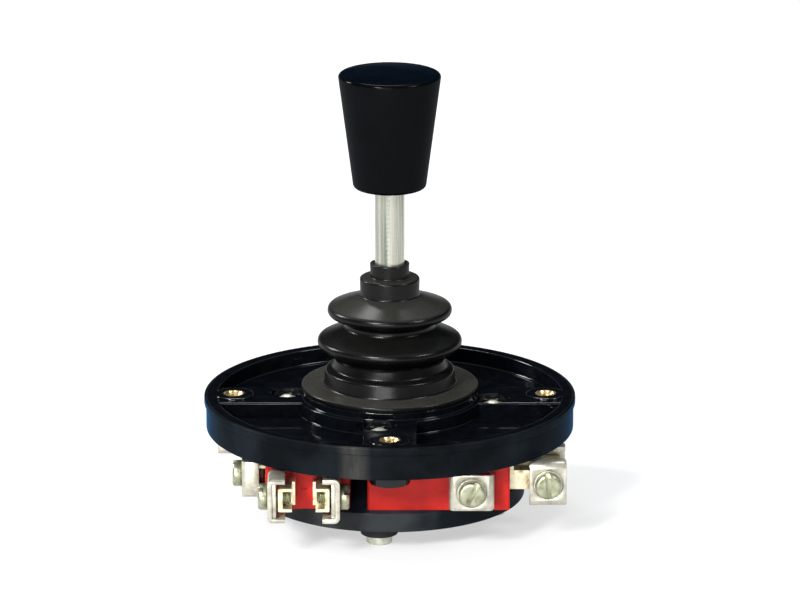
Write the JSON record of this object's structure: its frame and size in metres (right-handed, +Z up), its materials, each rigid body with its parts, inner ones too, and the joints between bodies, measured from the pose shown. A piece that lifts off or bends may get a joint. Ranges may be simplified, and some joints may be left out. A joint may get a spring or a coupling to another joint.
{
  "type": "industrial joystick",
  "caption": "Panel joystick with a tapered knob on a threaded lever, a rubber bellows boot, a round ribbed flange and red contact blocks with screw terminals.",
  "frame": {"origin": "centre of the flange's top face, which seats under the control panel", "axes": "+Z up along the lever at rest, -Y is the front, +X is to the right"},
  "size_m": [0.1, 0.1, 0.1222],
  "materials": {
    "black_phenolic": "satin moulded thermoset",
    "black_plate": "satin moulded thermoset",
    "knob_phenolic": "polished phenolic",
    "red_moulding": "satin moulded thermoset",
    "brass": "turned",
    "bronze_bush": "sintered bronze",
    "boot_rubber": "matt moulded rubber",
    "lever_zinc": "zinc plated thread",
    "zinc_fastener": "zinc plated",
    "terminal_strip": "nickel plated brass",
    "clamp_nickel": "nickel plated steel",
    "terminal_screw": "nickel plated",
    "steel": "machined",
    "spring_steel": "drawn wire",
    "contact_copper": "copper alloy",
    "white_nylon": "moulded nylon"
  },
  "bodies": {
    "housing": {"back_contact_block": "red_moulding", "back_terminal_screws": "terminal_screw", "back_terminal_strips": "terminal_strip", "back_wire_clamps": "clamp_nickel", "boot": "boot_rubber", "bottom_plate": "black_plate", "flange_housing": "black_phenolic", "front_contact_block": "red_moulding", "front_terminal_screws": "terminal_screw", "front_terminal_strips": "terminal_strip", "front_wire_clamps": "clamp_nickel", "left_contact_block": "red_moulding", "left_terminal_screws": "terminal_screw", "left_terminal_strips": "terminal_strip", "left_wire_clamps": "clamp_nickel", "mounting_inserts": "brass", "outer_pivot_bushes": "bronze_bush", "right_contact_block": "red_moulding", "right_terminal_screws": "terminal_screw", "right_terminal_strips": "terminal_strip", "right_wire_clamps": "clamp_nickel", "tie_nuts": "zinc_fastener", "tie_screws": "zinc_fastener", "x_return_springs": "spring_steel", "y_return_springs": "spring_steel"},
    "gimbal_ring": {"gimbal_ring": "steel", "outer_pivot_pins": "steel", "inner_pivot_pins": "steel"},
    "lever": {"lever_hub": "steel", "inner_pivot_bushes": "bronze_bush", "lever_rod": "lever_zinc", "actuator_stem": "lever_zinc", "knob": "knob_phenolic", "knob_insert": "brass"},
    "x_slider": {"x_slider": "white_nylon", "x_plungers": "white_nylon", "x_contact_bridges": "contact_copper"},
    "y_slider": {"y_slider": "white_nylon", "y_plungers": "white_nylon", "y_contact_bridges": "contact_copper"}
  },
  "joints": [
    {"name": "forward_back_tilt", "type": "hinge", "parent": "housing", "child": "gimbal_ring", "pos_m": [0, 0, -0.0025], "axis": [1, 0, 0], "range_deg": [-15, 15], "stiffness_Nm_per_rad": 1.2, "deforming": ["boot"]},
    {"name": "side_tilt", "type": "hinge", "parent": "gimbal_ring", "child": "lever", "pos_m": [0, 0, -0.0025], "axis": [0, 1, 0], "range_deg": [-15, 15], "stiffness_Nm_per_rad": 1.2, "deforming": ["boot"]},
    {"name": "x_slide", "type": "slide", "parent": "housing", "child": "x_slider", "axis": [1, 0, 0], "range_m": [-0.00285, 0.00285], "deforming": ["x_return_springs"]},
    {"name": "y_slide", "type": "slide", "parent": "housing", "child": "y_slider", "axis": [0, 1, 0], "range_m": [-0.00364, 0.00364], "deforming": ["y_return_springs"]}
  ],
  "couplings": [
    {"joint": "x_slide", "follows": "side_tilt", "m_per_rad": -0.0109},
    {"joint": "y_slide", "follows": "forward_back_tilt", "m_per_rad": 0.0139}
  ]
}
